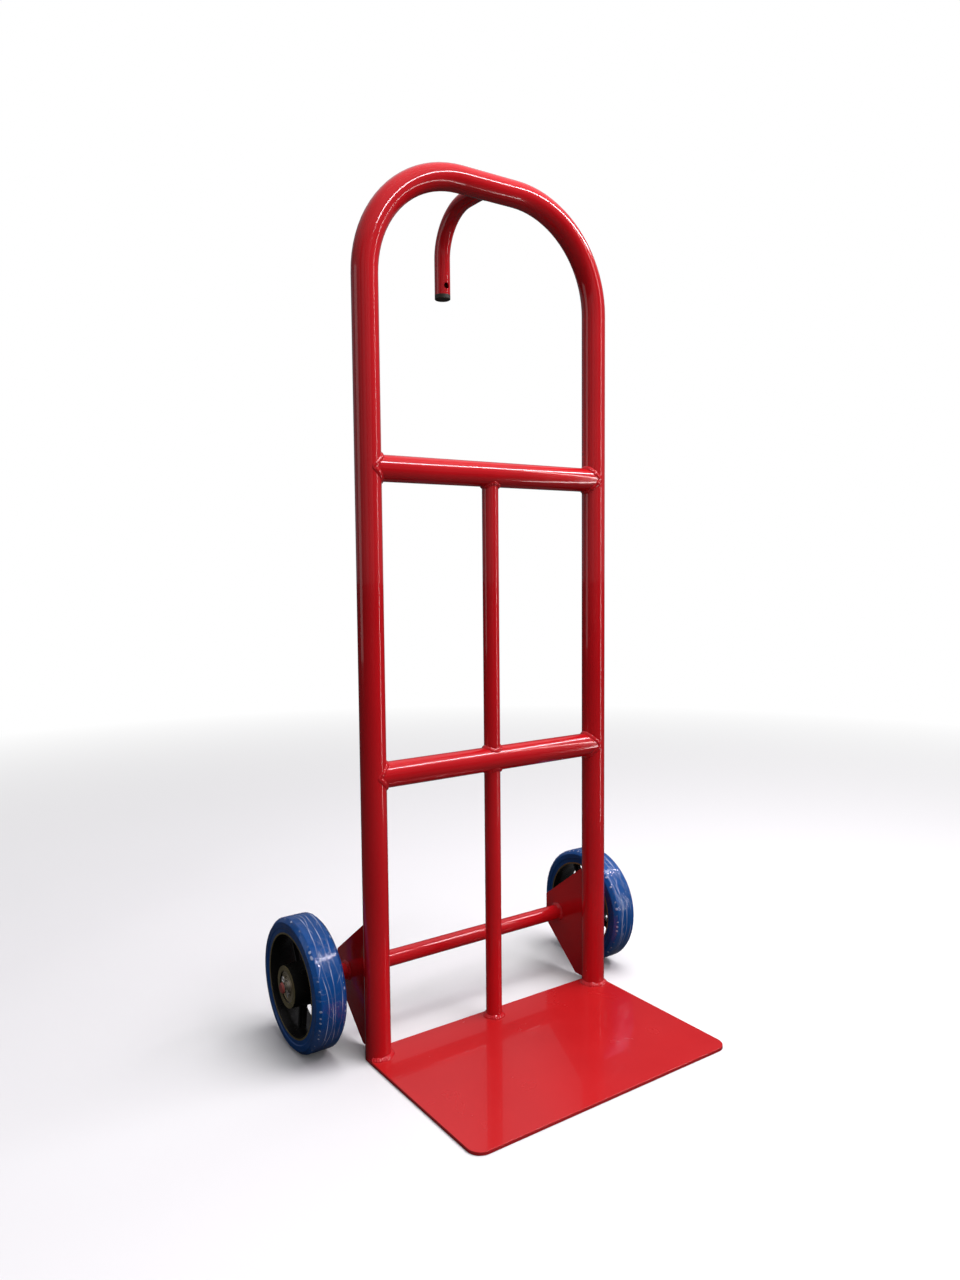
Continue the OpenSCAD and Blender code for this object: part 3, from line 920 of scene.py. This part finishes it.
def film_path():
    """The film's way over the tyre, as (distance from the axle, outwards) at even steps, and its length."""
    tread = TYRE_R - FILM_ROOM + FILM_LIFT
    wall = TYRE_HALF_W + FILM_LIFT
    edge = TYRE_R - FILM_REACH
    corners = [
        (edge, wall, 0),
        (tread - CHAMFER, wall, FILM_BEND),
        (tread, wall - CHAMFER, FILM_BEND),
        (tread, -wall + CHAMFER, FILM_BEND),
        (tread - CHAMFER, -wall, FILM_BEND),
        (edge, -wall, 0),
    ]
    steps = 8
    corner_points = steps + 1
    bends = rounded(corners, steps)[corner_points:-corner_points]
    way = [Vector((edge, wall)), *bends, Vector((edge, -wall))]
    lengths = [(b - a).length for a, b in zip(way, way[1:])]
    span = sum(lengths)
    points = []
    for k in range(FILM_ACROSS + 1):
        left = span * k / FILM_ACROSS
        i = 0
        while i < len(lengths) - 1 and left > lengths[i]:
            left -= lengths[i]
            i += 1
        points.append(way[i].lerp(way[i + 1], left / lengths[i]))
    return points, span


def fold_ways(path):
    """The way that each point of the film moves where it folds: off the tread and the inner sidewall,
    and along the outer chamfer into the outer sidewall."""
    ways = []
    for k in range(len(path)):
        step = path[min(k + 1, FILM_ACROSS)] - path[max(k - 1, 0)]
        sideways = step.x if k > FILM_ACROSS / 2 else -step.x
        ways.append(Vector((abs(step.y), sideways)).normalized())
    return ways


def make_film(name, side, seed, material):
    """A thin clear sheet round the tyre, with fine folds and an inner edge that hangs loose in places."""
    path, span = film_path()
    ways = fold_ways(path)
    film = Film(seed, span)
    rings = []
    folds = []
    for i in range(FILM_AROUND):
        angle = FULL_TURN * i / FILM_AROUND
        ring = []
        for k, (point, way) in enumerate(zip(path, ways)):
            share = k / FILM_ACROSS
            across = span * share
            fold = film.fold(angle, across)
            place = point + way * (FOLD_LIFT * fold + film.slack(angle, across))
            radius = min(place.x, TYRE_R - BOX_ROOM)
            ring.append(wheel_point(side, angle, radius, place.y - film.flare(angle, share)))
            folds.append(fold)
        rings.append(ring)
    build = bmesh.new()
    mask = build.verts.layers.float.new("fold")
    grid = skin(build, rings, round_section=False)
    verts = [vert for ring in grid for vert in ring]
    for vert, fold in zip(verts, folds):
        vert[mask] = fold
    add_piece(f"{name}_tyre_film", build, material, f"{name}_wheel")


def clear_film():
    """Clear shipping film: nearly unseen where it lies flat, milky where loose, and pale along its folds as
    milk and painted sheen.
    """
    film = Shader("clear_film")
    fold = film.node("ShaderNodeAttribute", attribute_name="fold").outputs["Fac"]
    crease = film.remap(fold, 0.2, 0.8)
    loose = film.remap(film.noise(scale=26, detail=3, distortion=0.9), 0.56, 0.66)
    # Partly painted sheen: folds are milky in themselves and are also painted pale in place of the glints
    # along them; loose patches are only milky.
    milk_and_painted_sheen = film.math("MAXIMUM", crease, film.math("MULTIPLY", loose, 0.2))
    film.feed("Base Color", film.blend(milk_and_painted_sheen, (0.002, 0.085, 0.34), (0.50, 0.58, 0.85)))
    film.feed("Alpha", film.remap(milk_and_painted_sheen, 0.0, 1.0, 0.12, 0.7))
    film.feed("Roughness", film.remap(film.noise(scale=60, detail=3), 0.3, 0.7, 0.05, 0.14))
    film.set("Specular IOR Level", 0.9)
    film.set("Coat Weight", 1.0)
    film.set("Coat Roughness", 0.03)
    film.bump(film.noise(scale=260, detail=3, distortion=1.2), strength=0.25, distance=0.3 * MM)
    return film.material


def make_tyres():
    rubber = blue_rubber()
    film = clear_film()
    for seed, (name, side) in enumerate(SIDES.items(), start=3):
        make_tyre(name, side, rubber)
        make_film(name, side, seed, film)


# ---------------------------------------------------------------------------------------------
# The whole scene

make_camera()
make_world()
make_lights()
make_floor()
assign_materials()
make_softened()
make_welds()
make_tyres()

bpy.context.scene.view_settings.view_transform = "Standard"
